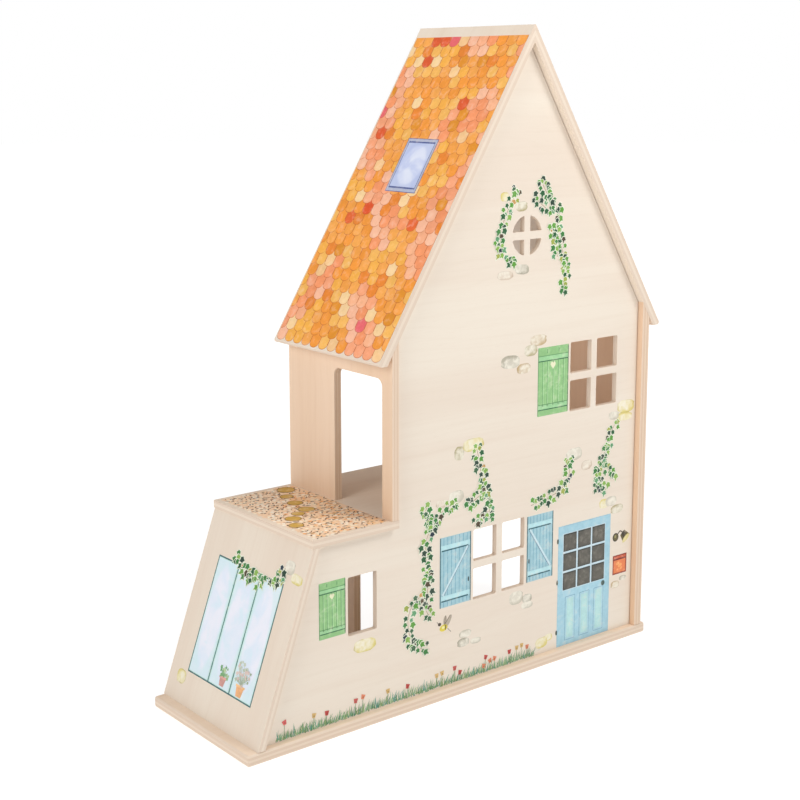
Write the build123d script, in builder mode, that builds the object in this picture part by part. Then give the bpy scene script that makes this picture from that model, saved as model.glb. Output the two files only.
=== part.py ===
from build123d import *
import os
from math import atan2, cos, radians, sin, tan

# Wooden dollhouse: a tall gabled house with a lean-to annex and a roof terrace on its left.
# Millimetres. +Z up, the painted front faces -Y, the back is open for play.
# The origin is the centre of the base board's underside.

os.makedirs("parts", exist_ok=True)

# ---- driving dimensions ----
base_length = 604.0            # base board, left to right
house_depth = 194.0            # base board and walls, front to back
base_thickness = 13.0
base_edge_radius = 3.0

left_wall_inset = 190.6        # base board's left end to the upper left wall's outer face
left_wall_thickness = 9.5
right_wall_inset = 7.7         # base board's right end to the right wall's outer face
right_wall_thickness = 12.0
wall_top = 410.3               # height of the side walls' outer top edges

deck_top = 227.0               # terrace and first floor level
deck_thickness = 9.0
deck_inset = 84.0              # base board's left end to the deck's left end
slope_foot_inset = 12.5        # base board's left end to the sloped wall's foot
slope_thickness = 9.0
slope_setback = 1.5            # how far the deck stands out past the sloped wall's top
attic_floor_top = 418.0
attic_floor_thickness = 9.0

roof_pitch = 58.4              # degrees
roof_thickness = 11.0
roof_back_overhang = 4.0
eave_drop = 11.0               # eave's underside below the side walls' outer top edges
eave_radius = 3.0
ridge_flat = 1.5               # sanded off the ridge's sharp edge

facade_thickness = 7.0
facade_recess = 8.0            # facade's front face behind the walls' front edges
facade_gap = 1.0               # clearance round the facade's edge

pane_width = 36.0
pane_height = 37.6
pane_bar = 8.8                 # glazing bar between two panes
pane_corner = 2.0
upper_window_inset = 96.2      # base board's right end to the upper window's centre
upper_window_height = 350.0
lower_window_inset = 248.2     # base board's right end to the lower window's centre
lower_window_height = 149.2
annex_window_inset = 155.1     # base board's left end to the annex window's centre
annex_window_height = 140.3
annex_window_width = 39.5
annex_window_tall = 66.5
round_window_radius = 23.2
round_window_bar = 9.0
round_window_rise = 106.3      # round window's centre above the attic floor

door_corner = 9.0
terrace_door_start = 18.0      # from the house's front to the doorway's near side
terrace_door_width = 87.0
terrace_door_height = 155.0
annex_door_start = 27.0
annex_door_width = 43.5
annex_door_height = 150.0

edge_round = 0.7               # sanded edges of the boards
dowel_radius = 2.0
dowel_fit = 0.05               # radial clearance of a dowel in its hole
dowel_long = 10.0              # depth in a board's end
dowel_short = 4.5              # depth in a board's face
dowel_end_gap = 0.3
ridge_dowel_reach = 6.0
dowel_edge = 9.0               # a row's first and last dowel from the end of its joint
screw_radius = 1.6
screw_head_radius = 3.4
screw_sink = 0.5               # screw head below the base board's underside
screw_grip = 13.0              # screw length in the wall
screw_tip = 2.5
screw_slot_length = 3.6        # cross recess
screw_slot_width = 0.8
screw_slot_depth = 1.1

# ---- places worked out from them ----
left_end = -base_length / 2
right_end = base_length / 2
front = -house_depth / 2
back = house_depth / 2
deck_under = deck_top - deck_thickness
attic_floor_under = attic_floor_top - attic_floor_thickness

left_outer = left_end + left_wall_inset
left_inner = left_outer + left_wall_thickness
right_outer = right_end - right_wall_inset
right_inner = right_outer - right_wall_thickness
ridge_x = (left_outer + right_outer) / 2
half_span = (right_outer - left_outer) / 2
roof_slope = tan(radians(roof_pitch))
roof_plumb = roof_thickness / cos(radians(roof_pitch))
ridge_under = wall_top + half_span * roof_slope
ridge_top = ridge_under + roof_plumb
eave_under = wall_top - eave_drop
eave_inner_reach = (ridge_under - eave_under) / roof_slope
eave_outer_reach = (ridge_top - eave_under) / roof_slope

deck_left = left_end + deck_inset
slope_foot = left_end + slope_foot_inset
slope_head = deck_left + slope_setback
slope_angle = atan2(deck_under - base_thickness, slope_head - slope_foot)
slope_run = slope_thickness / sin(slope_angle)

facade_front = front + facade_recess
facade_back = facade_front + facade_thickness
facade_middle = (facade_front + facade_back) / 2
facade_left = left_inner + facade_gap
facade_right = right_inner - facade_gap
facade_slope_run = facade_gap / sin(slope_angle)
facade_plumb = facade_gap / cos(radians(roof_pitch))


def roof_underside(x):
    """Height of the roof panels' underside at x."""
    return ridge_under - abs(x - ridge_x) * roof_slope


def slope_inner(z):
    """Inner face of the sloped annex wall at height z."""
    return slope_foot + slope_run + (z - base_thickness) / tan(slope_angle)


def slope_middle(z):
    """Middle of the sloped annex wall at height z."""
    return slope_inner(z) - slope_run / 2


def along(start, end, count):
    """Evenly spaced places along a joint, the outer two a dowel edge inside its ends."""
    first = start + dowel_edge
    step = (end - start - 2 * dowel_edge) / (count - 1)
    return [first + index * step for index in range(count)]


# ---- dowel rows: (joint plane, points on it, depth behind it, depth in front of it) ----
left_middle = (left_outer + left_inner) / 2
right_middle = (right_outer + right_inner) / 2
deck_middle = deck_top - deck_thickness / 2
attic_middle = attic_floor_top - attic_floor_thickness / 2
wall_places = along(front, back, 3)
floor_places = along(facade_back, back - 2 * dowel_edge, 4)
terrace_door_end = front + terrace_door_start + terrace_door_width
left_wall_places = [front + dowel_edge] + along(terrace_door_end, back, 2)
annex_door_end = front + annex_door_start + annex_door_width
partition_places = along(annex_door_end, back - 2 * dowel_edge, 2)
facade_span = (facade_left + 2 * dowel_edge, facade_right - 2 * dowel_edge)
foot_span = (slope_inner(base_thickness) + dowel_edge, facade_right - dowel_edge)

slope_row = (Plane.XY.offset(deck_under),
             [(slope_middle(deck_under - dowel_long / 2), y) for y in wall_places],
             dowel_long, dowel_short)
partition_row = (Plane.XY.offset(deck_under),
                 [(left_middle, y) for y in partition_places], dowel_long, dowel_short)
left_wall_row = (Plane.XY.offset(deck_top),
                 [(left_middle, y) for y in left_wall_places], dowel_short, dowel_long)
deck_end_row = (Plane.YZ.offset(right_inner),
                [(y, deck_middle) for y in floor_places], dowel_long, dowel_short)
attic_left_row = (Plane.YZ.offset(left_inner),
                  [(y, attic_middle) for y in floor_places], dowel_short, dowel_long)
attic_right_row = (Plane.YZ.offset(right_inner),
                   [(y, attic_middle) for y in floor_places], dowel_long, dowel_short)
facade_deck_row = (Plane.XZ.offset(-facade_back),
                   [(x, deck_middle) for x in along(*facade_span, 4)], dowel_long, dowel_short)
facade_attic_row = (Plane.XZ.offset(-facade_back),
                    [(x, attic_middle) for x in along(*facade_span, 3)], dowel_long, dowel_short)
facade_foot_row = (Plane.XY.offset(base_thickness),
                   [(x, facade_middle) for x in along(*foot_span, 5)], dowel_long, dowel_long)
roof_left_row = (Plane.XY.offset(roof_underside(left_middle)),
                 [(left_middle, y) for y in left_wall_places], dowel_long, dowel_long)
roof_right_row = (Plane.XY.offset(roof_underside(right_middle)),
                  [(right_middle, y) for y in wall_places], dowel_long, dowel_long)
ridge_row = (Plane.YZ.offset(ridge_x),
             [(y, ridge_under + 3 * dowel_radius) for y in wall_places],
             ridge_dowel_reach, ridge_dowel_reach)

slope_screws = [(slope_middle(base_thickness + screw_grip / 2), y) for y in wall_places]
partition_screws = [(left_middle, y) for y in partition_places]
right_screws = [(right_middle, y) for y in wall_places]
all_screws = slope_screws + partition_screws + right_screws


def upright_board(points, start, end):
    """A board whose outline stands in the XZ plane, from depth start to depth end."""
    with BuildSketch(Plane.XZ.offset(-start)) as outline:
        with BuildLine():
            Polyline(*points, close=True)
        make_face()
    extrude(outline.sketch, amount=start - end)


def soften(board):
    """Sand the edges of an upright board's front and back faces."""
    faces = board.edges().group_by(Axis.Y)
    fillet(faces[0] + faces[-1], radius=edge_round)


def cut_doorway(start, width, sill, height):
    """A doorway through the left wall line, open at its foot, with round top corners."""
    with BuildSketch(Plane.YZ.offset(left_outer)) as doorway:
        with Locations((front + start + width / 2, sill + height / 2)):
            Rectangle(width, height)
        fillet(doorway.vertices().group_by(Axis.Y)[-1], radius=door_corner)
    extrude(doorway.sketch, amount=left_wall_thickness, mode=Mode.SUBTRACT)


def drill(row):
    """The dowel holes of a row, taken out of the board being made."""
    joint, points, behind, ahead = row
    with BuildSketch(joint.offset(-behind)) as holes:
        with Locations(*points):
            Circle(dowel_radius + dowel_fit)
    extrude(holes.sketch, amount=behind + ahead, mode=Mode.SUBTRACT)


def peg(row):
    """The dowels of a row, a little shorter than their holes."""
    joint, points, behind, ahead = row
    with BuildSketch(joint.offset(dowel_end_gap - behind)) as rods:
        with Locations(*points):
            Circle(dowel_radius)
    extrude(rods.sketch, amount=behind + ahead - 2 * dowel_end_gap)


def drill_pilots(points):
    """Pilot holes for the base screws, up into the foot of a wall."""
    with BuildSketch(Plane.XY.offset(base_thickness)) as pilots:
        with Locations(*points):
            Circle(screw_radius + dowel_fit)
    extrude(pilots.sketch, amount=screw_grip + dowel_end_gap, mode=Mode.SUBTRACT)


def save(board, name):
    """Label a finished piece and write its file."""
    board.part.label = name
    export_step(board.part, "parts/" + name + ".step")


# ---- base board, drilled from below for the screws ----
with BuildPart() as base_board:
    with BuildSketch():
        Rectangle(base_length, house_depth)
    extrude(amount=base_thickness)
    fillet(base_board.edges(), radius=base_edge_radius)
    with Locations(*[Location((x, y, 0), (180, 0, 0)) for x, y in all_screws]):
        CounterSinkHole(screw_radius + dowel_fit, screw_head_radius + screw_sink + dowel_fit,
                        depth=base_thickness, counter_sink_angle=90)
    drill(facade_foot_row)
save(base_board, "base_board")

# ---- sloped annex wall, leaning in from its foot to the deck's edge ----
with BuildPart() as annex_slope_wall:
    upright_board(
        [
            (slope_foot, base_thickness),
            (slope_foot + slope_run, base_thickness),
            (slope_head + slope_run, deck_under),
            (slope_head, deck_under),
        ],
        front,
        back,
    )
    soften(annex_slope_wall)
    drill(slope_row)
    drill_pilots(slope_screws)
save(annex_slope_wall, "annex_slope_wall")

# ---- partition between the annex and the ground floor room, with its doorway ----
with BuildPart() as annex_partition:
    upright_board(
        [
            (left_outer, base_thickness),
            (left_inner, base_thickness),
            (left_inner, deck_under),
            (left_outer, deck_under),
        ],
        facade_back,
        back,
    )
    cut_doorway(annex_door_start, annex_door_width, base_thickness, annex_door_height)
    drill(partition_row)
    drill_pilots(partition_screws)
save(annex_partition, "annex_partition")

# ---- one long board: the roof terrace outside, the first floor inside ----
with BuildPart() as deck_floor_board:
    with BuildSketch(Plane.XY.offset(deck_under)):
        with BuildLine():
            Polyline(
                (deck_left, front),
                (left_inner, front),
                (left_inner, facade_back),
                (right_inner, facade_back),
                (right_inner, back),
                (deck_left, back),
                close=True,
            )
        make_face()
    extrude(amount=deck_thickness)
    fillet(deck_floor_board.edges().group_by(Axis.X)[0], radius=edge_round)
    for row in (slope_row, partition_row, left_wall_row, deck_end_row, facade_deck_row):
        drill(row)
save(deck_floor_board, "deck_floor_board")

# ---- upper left wall, standing on the deck, with the doorway to the terrace ----
with BuildPart() as upper_left_wall:
    upright_board(
        [
            (left_outer, deck_top),
            (left_inner, deck_top),
            (left_inner, roof_underside(left_inner)),
            (left_outer, roof_underside(left_outer)),
        ],
        front,
        back,
    )
    soften(upper_left_wall)
    cut_doorway(terrace_door_start, terrace_door_width, deck_top, terrace_door_height)
    for row in (left_wall_row, attic_left_row, roof_left_row):
        drill(row)
save(upper_left_wall, "upper_left_wall")

# ---- right wall, from the base board up to the roof ----
with BuildPart() as right_wall:
    upright_board(
        [
            (right_inner, base_thickness),
            (right_outer, base_thickness),
            (right_outer, roof_underside(right_outer)),
            (right_inner, roof_underside(right_inner)),
        ],
        front,
        back,
    )
    soften(right_wall)
    drill_pilots(right_screws)
    for row in (deck_end_row, attic_right_row, roof_right_row):
        drill(row)
save(right_wall, "right_wall")

# ---- attic floor between the side walls ----
with BuildPart() as attic_floor:
    upright_board(
        [
            (left_inner, attic_floor_under),
            (right_inner, attic_floor_under),
            (right_inner, attic_floor_top),
            (left_inner, attic_floor_top),
        ],
        facade_back,
        back,
    )
    for row in (attic_left_row, attic_right_row, facade_attic_row):
        drill(row)
save(attic_floor, "attic_floor")


# ---- facade: one thin board across the annex and the gable, set back in the frame ----
def four_panes(middle_x, middle_z):
    """A window of four panes, left with its glazing bars."""
    with Locations((middle_x, middle_z)):
        with GridLocations(pane_width + pane_bar, pane_height + pane_bar, 2, 2):
            RectangleRounded(pane_width, pane_height, pane_corner)


def round_window(middle_x, middle_z):
    """A round window cut as four quadrants round a cross."""
    with BuildSketch() as quadrants:
        Circle(round_window_radius)
        Rectangle(2 * round_window_radius, round_window_bar, mode=Mode.SUBTRACT)
        Rectangle(round_window_bar, 2 * round_window_radius, mode=Mode.SUBTRACT)
        fillet(quadrants.vertices(), radius=pane_corner / 2)
    with Locations((middle_x, middle_z)):
        add(quadrants.sketch)


facade_shoulder = deck_under - facade_gap
with BuildPart() as facade_panel:
    upright_board(
        [
            (slope_inner(base_thickness) + facade_slope_run, base_thickness),
            (facade_right, base_thickness),
            (facade_right, roof_underside(facade_right) - facade_plumb),
            (ridge_x, ridge_under - facade_plumb),
            (facade_left, roof_underside(facade_left) - facade_plumb),
            (facade_left, facade_shoulder),
            (slope_inner(facade_shoulder) + facade_slope_run, facade_shoulder),
        ],
        facade_front,
        facade_back,
    )
    with BuildSketch(Plane.XZ.offset(-facade_front)) as windows:
        four_panes(right_end - upper_window_inset, upper_window_height)
        four_panes(right_end - lower_window_inset, lower_window_height)
        with Locations((left_end + annex_window_inset, annex_window_height)):
            RectangleRounded(annex_window_width, annex_window_tall, pane_corner)
        round_window(ridge_x, attic_floor_top + round_window_rise)
    extrude(amount=-facade_thickness, mode=Mode.SUBTRACT)
    for row in (facade_deck_row, facade_attic_row, facade_foot_row):
        drill(row)
save(facade_panel, "facade_panel")


# ---- roof panels, mitred against each other at the ridge ----
def roof_panel(side):
    """The outline of one roof panel, on the left for -1 and on the right for 1."""
    with BuildSketch(Plane.XZ.offset(-front)) as outline:
        with BuildLine():
            Polyline(
                (ridge_x, ridge_under),
                (ridge_x, ridge_top - ridge_flat),
                (ridge_x + side * ridge_flat / roof_slope, ridge_top - ridge_flat),
                (ridge_x + side * eave_outer_reach, eave_under),
                (ridge_x + side * eave_inner_reach, eave_under),
                close=True,
            )
        make_face()
        eave_corner = outline.vertices().sort_by(Axis.X)[0 if side < 0 else -1]
        fillet(eave_corner, radius=eave_radius)
    extrude(outline.sketch, amount=-house_depth - roof_back_overhang)


for side, name, wall_row in ((-1, "roof_panel_left", roof_left_row),
                             (1, "roof_panel_right", roof_right_row)):
    with BuildPart() as roof_side:
        roof_panel(side)
        drill(wall_row)
        drill(ridge_row)
    save(roof_side, name)

# ---- dowels, one group for each joint ----
dowel_groups = {
    "slope_wall_dowels": [slope_row],
    "partition_dowels": [partition_row],
    "left_wall_dowels": [left_wall_row],
    "deck_end_dowels": [deck_end_row],
    "attic_floor_dowels": [attic_left_row, attic_right_row],
    "facade_foot_dowels": [facade_foot_row],
    "facade_floor_dowels": [facade_deck_row, facade_attic_row],
    "roof_dowels": [roof_left_row, roof_right_row],
    "ridge_dowels": [ridge_row],
}
for name, rows in dowel_groups.items():
    with BuildPart() as dowels:
        for row in rows:
            peg(row)
    save(dowels, name)

# ---- base screws: countersunk, driven up into the feet of the walls ----
screw_neck = screw_sink + screw_head_radius - screw_radius
screw_end = base_thickness + screw_grip
with BuildPart() as one_screw:
    with BuildSketch(Plane.XZ):
        with BuildLine():
            Polyline(
                (0, screw_sink),
                (screw_head_radius, screw_sink),
                (screw_radius, screw_neck),
                (screw_radius, screw_end - screw_tip),
                (0, screw_end),
                close=True,
            )
        make_face()
    revolve(axis=Axis.Z)
    with BuildSketch(Plane.XY.offset(screw_sink)):
        Rectangle(screw_slot_length, screw_slot_width)
        Rectangle(screw_slot_width, screw_slot_length)
    extrude(amount=screw_slot_depth, mode=Mode.SUBTRACT)
with BuildPart() as base_screws:
    with Locations(*all_screws):
        add(one_screw.part)
save(base_screws, "base_screws")
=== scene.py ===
import random
from math import atan2, hypot, pi, radians

import bpy
from mathutils import Matrix, Vector, noise


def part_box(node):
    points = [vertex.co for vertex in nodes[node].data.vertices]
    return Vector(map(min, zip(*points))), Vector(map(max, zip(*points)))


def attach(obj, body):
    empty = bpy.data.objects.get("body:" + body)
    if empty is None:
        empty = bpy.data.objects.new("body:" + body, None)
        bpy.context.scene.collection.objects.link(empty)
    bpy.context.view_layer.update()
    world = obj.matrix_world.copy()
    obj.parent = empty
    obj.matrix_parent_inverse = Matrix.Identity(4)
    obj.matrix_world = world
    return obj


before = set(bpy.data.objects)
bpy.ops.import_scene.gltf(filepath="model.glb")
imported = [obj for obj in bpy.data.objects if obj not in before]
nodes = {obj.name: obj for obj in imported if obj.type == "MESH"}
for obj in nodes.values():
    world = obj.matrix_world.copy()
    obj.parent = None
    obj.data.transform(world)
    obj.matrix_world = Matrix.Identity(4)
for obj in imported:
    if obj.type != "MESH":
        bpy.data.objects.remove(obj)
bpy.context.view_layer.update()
mm = 0.001


def linear(share):
    return share / 12.92 if share <= 0.04045 else ((share + 0.055) / 1.055) ** 2.4


def rgb(red, green, blue):
    # everyday 0-255 colour to the linear one that shaders use
    return (*[linear(value / 255) for value in (red, green, blue)], 1.0)


def scaled(colour, factor):
    # a lighter or darker version of the same colour
    return (*[min(1.0, part * factor) for part in colour[:3]], 1.0)


def grey(value):
    return (value, value, value, 1.0)


def coat(piece, material):
    piece.data.materials.clear()
    piece.data.materials.append(material)


class Wire:
    # a shader socket that can be reckoned with: each operator adds its Math node
    def __init__(self, finish, socket):
        self.finish = finish
        self.socket = socket

    def work(self, operation, first, second):
        return self.finish.node("ShaderNodeMath", {"operation": operation}, {0: first, 1: second})

    def __add__(self, other):
        return self.work("ADD", self, other)

    def __sub__(self, other):
        return self.work("SUBTRACT", self, other)

    def __rsub__(self, other):
        return self.work("SUBTRACT", other, self)

    def __mul__(self, other):
        return self.work("MULTIPLY", self, other)

    def __pow__(self, other):
        return self.work("POWER", self, other)

    __radd__ = __add__
    __rmul__ = __mul__


class Finish:
    def __init__(self, name, roughness=0.5):
        self.material = bpy.data.materials.new(name)
        self.material.use_nodes = True
        self.tree = self.material.node_tree
        self.tree.nodes.clear()
        self.shader = self.tree.nodes.new("ShaderNodeBsdfPrincipled")
        self.shader.inputs["Roughness"].default_value = roughness
        output = self.tree.nodes.new("ShaderNodeOutputMaterial")
        self.tree.links.new(self.shader.outputs[0], output.inputs[0])

    def node(self, kind, settings=None, values=None, out=0):
        made = self.tree.nodes.new(kind)
        for key, value in (settings or {}).items():
            setattr(made, key, value)
        for key, value in (values or {}).items():
            self.feed(made.inputs[key], value)
        return Wire(self, made.outputs[out])

    def feed(self, socket, value):
        if isinstance(value, Wire):
            self.tree.links.new(value.socket, socket)
        else:
            socket.default_value = value

    def set(self, name, value):
        self.feed(self.shader.inputs[name], value)

    def place(self):
        return self.node("ShaderNodeTexCoord", out="Object")

    def dot(self, vector, direction):
        return self.node("ShaderNodeVectorMath", {"operation": "DOT_PRODUCT"},
                         {0: vector, 1: tuple(direction)}, "Value")

    def joinAxes(self, x, y, z):
        return self.node("ShaderNodeCombineXYZ", None, {0: x, 1: y, 2: z})

    def noise(self, vector, scale, detail=3.0, roughness=0.55, distortion=0.0):
        return self.node("ShaderNodeTexNoise", None, {"Vector": vector, "Scale": scale, "Detail": detail,
                                                      "Roughness": roughness, "Distortion": distortion})

    def ease(self, value, low, high, toLow=0.0, toHigh=1.0):
        return self.node("ShaderNodeMapRange", {"interpolation_type": "SMOOTHSTEP"},
                         {0: value, 1: low, 2: high, 3: toLow, 4: toHigh})

    def one(self, operation, value):
        return self.node("ShaderNodeMath", {"operation": operation}, {0: value})

    def mix(self, factor, first, second, blend="MIX"):
        return self.node("ShaderNodeMix", {"data_type": "RGBA", "blend_type": blend},
                         {0: factor, 6: first, 7: second}, 2)

    def stain(self, under, over, mask, low, high, share=1.0):
        # lays the second colour over the first where the mask rises from low to high
        return self.mix(self.ease(mask, low, high, 0.0, share), under, over)

    def length(self, vector):
        return self.node("ShaderNodeVectorMath", {"operation": "LENGTH"}, {0: vector}, "Value")

    def bump(self, height, strength, distance):
        self.set("Normal", self.node("ShaderNodeBump", None,
                                     {"Strength": strength, "Distance": distance, "Height": height}))


def widestFace(node, towards):
    facing = [face for face in nodes[node].data.polygons if face.normal.dot(towards) > 0.5]
    return max(facing, key=lambda face: face.area)


# plywood: pale birch veneer on the faces, glued layers on the edges
plywoodLook = {
    "pale": ((236, 225, 210), (236, 207, 180)),    # each pair: whitest board, warmest board; the warm end is partly the veneer's own tone, partly painted shade
    "deep": ((231, 216, 200), (229, 197, 167)),
    "figure": ((218, 200, 180), (212, 174, 140)),
    "longPly": ((232, 217, 200), (229, 206, 184)),
    "crossPly": ((224, 206, 188), (220, 193, 168)),
    "glue": (204, 180, 158),
    "streaks": (5.0, 230.0),    # marks in each metre, along the grain and across it
    "bands": (1.3, 13.0),
    "pores": (70.0, 1500.0),
    "drift": (2.2, 7.0),
    "wobble": (9.0, 60.0),    # waviness of the plies on the edges
    "fibres": 900.0,    # cut fibres on the edges
    "rings": 420.0,
    "ringDrift": 46.0,    # how far the drift bends the growth rings
}


# a board's tone between whitest and warmest: the warmer, darker end is partly the board's own veneer,
# partly painted shade
def toned(name, warmthAndShade):
    white, warm = plywoodLook[name]
    return rgb(*[a + (b - a) * warmthAndShade for a, b in zip(white, warm)])


def plywood(node, towards, grain, plies, warmthAndShade):
    look = plywoodLook
    outside = widestFace(node, Vector(towards))
    inside = widestFace(node, -Vector(towards))
    through = outside.normal.normalized()
    middle = (outside.center.dot(through) + inside.center.dot(through)) / 2
    thickness = (outside.center - inside.center).dot(through)
    along = (Vector(grain) - through * through.dot(Vector(grain))).normalized()
    across = through.cross(along)

    finish = Finish(node + "Plywood", 0.5)
    spot = finish.place()
    deep = finish.dot(spot, through) - middle
    far = finish.dot(spot, along)
    wide = finish.dot(spot, across)
    glue = rgb(*look["glue"])

    def stretched(name):
        alongCount, acrossCount = look[name]
        return finish.joinAxes(far * alongCount, wide * acrossCount, deep * acrossCount)

    streaks = finish.noise(stretched("streaks"), 1.0, 4.0, 0.6)
    bands = finish.noise(stretched("bands"), 1.0, 3.0, 0.5, 0.6)
    pores = finish.noise(stretched("pores"), 1.0, 1.0)
    drift = finish.noise(stretched("drift"), 1.0, 2.0, 0.5, 1.2)
    figure = finish.one("SINE", wide * look["rings"] + drift * look["ringDrift"])

    veneer = finish.stain(toned("pale", warmthAndShade), toned("deep", warmthAndShade), bands, 0.3, 0.72)
    veneer = finish.stain(veneer, toned("figure", warmthAndShade), streaks, 0.45, 0.8, 0.13)
    veneer = finish.stain(veneer, toned("figure", warmthAndShade), figure, 0.5, 1.0, 0.05)
    veneer = finish.stain(veneer, glue, pores, 0.66, 0.76, 0.14)

    wobble = finish.noise(stretched("wobble"), 1.0, 2.0)
    layer = deep * (plies / thickness) + (wobble - 0.5) * 0.25
    parity = finish.one("COSINE", layer * pi)    # its sign changes from ply to ply
    edge = finish.stain(toned("crossPly", warmthAndShade), toned("longPly", warmthAndShade), parity, -0.35, 0.35)
    seam = finish.ease(finish.one("ABSOLUTE", parity), 0.0, 0.3, 0.2, 0.0)
    edge = finish.mix(seam, edge, glue)
    fibres = finish.noise(spot, look["fibres"], 3.0, 0.7)
    edge = finish.stain(edge, glue, fibres, 0.5, 0.8, 0.25)

    turned = finish.node("ShaderNodeTexCoord", out="Normal")
    onFace = finish.ease(finish.one("ABSOLUTE", finish.dot(turned, through)), 0.75, 0.95)
    finish.set("Base Color", finish.mix(onFace, edge, veneer))
    finish.set("Roughness", finish.ease(streaks, 0.3, 0.7, 0.44, 0.56))
    finish.bump(streaks * 0.5 + pores * 0.3, 0.07, 0.2 * mm)
    coat(nodes[node], finish.material)


boards = {    # outward side, way of the grain, number of plies, warmth: the veneer's own tone, and painted shade on boards that stand in shade
    "base_board": ((0, 0, 1), (1, 0, 0), 5, 0.6),
    "annex_slope_wall": ((-1, 0, 0.4), (0, 0, 1), 3, 0.1),
    "annex_partition": ((-1, 0, 0), (0, 0, 1), 5, 0.8),
    "deck_floor_board": ((0, 0, 1), (1, 0, 0), 3, 0.3),
    "upper_left_wall": ((-1, 0, 0), (0, 0, 1), 5, 1.0),
    "right_wall": ((1, 0, 0), (0, 0, 1), 5, 1.2),
    "attic_floor": ((0, 0, 1), (1, 0, 0), 5, 0.8),
    "facade_panel": ((0, -1, 0), (1, 0, 0), 5, 0.0),
    "roof_panel_left": ((-0.85, 0, 0.5), (0, 0, 1), 3, 0.15),
    "roof_panel_right": ((0.85, 0, 0.5), (0, 0, 1), 3, 0.15),
}
for node, (towards, grain, plies, warmthAndShade) in boards.items():
    plywood(node, towards, grain, plies, warmthAndShade)
print("boards in plywood:", len(boards))


# turned beech for the dowels, zinc for the screws
dowelLook = {"pale": rgb(214, 170, 122), "deep": rgb(196, 148, 102), "fleck": rgb(150, 104, 68),
             "toneCount": 60.0, "fleckCount": 700.0}
screwLook = {"bright": rgb(206, 204, 194), "dull": rgb(176, 170, 150), "cloudCount": 500.0}


def beech():
    finish = Finish("turnedBeech", 0.55)
    spot = finish.place()
    flecks = finish.noise(spot, dowelLook["fleckCount"], 3.0, 0.6)
    tone = finish.noise(spot, dowelLook["toneCount"], 2.0)
    wood = finish.mix(tone, dowelLook["pale"], dowelLook["deep"])
    finish.set("Base Color", finish.stain(wood, dowelLook["fleck"], flecks, 0.55, 0.7, 0.5))
    finish.bump(flecks, 0.15, 0.1 * mm)
    return finish.material


def zinc():
    finish = Finish("zincPlate", 0.35)
    clouds = finish.noise(finish.place(), screwLook["cloudCount"], 3.0)
    finish.set("Base Color", finish.mix(clouds, screwLook["bright"], screwLook["dull"]))
    finish.set("Metallic", 1.0)
    finish.set("Roughness", finish.ease(clouds, 0.3, 0.7, 0.26, 0.46))
    return finish.material


dowelWood = beech()
for name, piece in nodes.items():
    if name.endswith("_dowels"):
        coat(piece, dowelWood)
coat(nodes["base_screws"], zinc())

# inks: thin watercolour films on the wood; each shape carries its colour in the ink attribute
inkLook = {
    "paper": rgb(246, 233, 216),    # the wood seen through thin paint
    "bareStone": rgb(246, 240, 226),
    "clouds": 130.0, "grains": 1400.0,    # counts for each metre
    "stoneClouds": 150.0, "stoneBlots": 70.0,
    "skyClouds": 24.0, "skyVeils": 55.0,
}


def inkColour(finish):
    return finish.node("ShaderNodeAttribute", {"attribute_name": "ink"}, None, "Color")


def flatMap(finish):
    return finish.node("ShaderNodeUVMap", {"uv_map": "flat"})


def rimOf(finish, start):
    # 0 in the middle of a shape, 1 at its rim
    centred = finish.node("ShaderNodeVectorMath", {"operation": "SUBTRACT"},
                          {0: flatMap(finish), 1: (0.5, 0.5, 0.0)})
    return finish.ease(finish.length(centred), start, 0.5)


def ink(name, thin, rim, depth=0.72):
    # thin: how far the wash fades towards the wood; rim: how much pigment gathers at the rim
    finish = Finish(name, 0.48)
    spot = finish.place()
    colour = inkColour(finish)
    clouds = finish.noise(spot, inkLook["clouds"], 3.0, 0.6, 0.4)
    grains = finish.noise(spot, inkLook["grains"], 2.0, 0.6)
    deeper = finish.mix(1.0, colour, grey(depth), "MULTIPLY")
    wash = finish.stain(colour, deeper, clouds, 0.42, 0.72, 0.55)
    wash = finish.stain(wash, inkLook["paper"], clouds, 0.52, 0.26, thin)
    wash = finish.stain(wash, deeper, grains, 0.4, 0.75, 0.22)
    finish.set("Base Color", finish.mix(rimOf(finish, 0.3) * rim, wash, deeper))
    finish.set("Roughness", finish.ease(grains, 0.3, 0.7, 0.42, 0.56))
    return finish.material


def stoneInk():
    # nearly bare in the middle, the colour run out to the sides, and a thin darker line on part of the rim
    finish = Finish("stoneInk", 0.5)
    spot = finish.place()
    colour = inkColour(finish)
    clouds = finish.noise(spot, inkLook["stoneClouds"], 3.0, 0.6, 0.5)
    blots = finish.noise(spot, inkLook["stoneBlots"], 2.0, 0.5)
    flat = flatMap(finish)
    x = finish.one("ABSOLUTE", finish.dot(flat, (2.0, 0.0, 0.0)) - 1.0)
    y = finish.one("ABSOLUTE", finish.dot(flat, (0.0, 2.0, 0.0)) - 1.0)
    reach = (x ** 4.0 + y ** 4.0) ** 0.25    # squarish: 1 all along the sides
    lean = finish.dot(flat, (0.5, -0.55, 0.0))
    wash = finish.ease(reach * 0.8 + clouds * 0.9 + lean, 0.8, 1.5, 0.0, 0.8)
    body = finish.mix(finish.ease(clouds, 0.32, 0.68, 0.14, 0.56), inkLook["bareStone"], colour)
    body = finish.mix(wash, body, colour)
    deeper = finish.mix(1.0, colour, (0.66, 0.62, 0.55, 1.0), "MULTIPLY")
    rim = finish.ease(reach, 0.8, 1.0) * finish.ease(blots, 0.46, 0.66, 0.05, 0.6)
    finish.set("Base Color", finish.mix(rim, body, deeper))
    return finish.material


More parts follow.
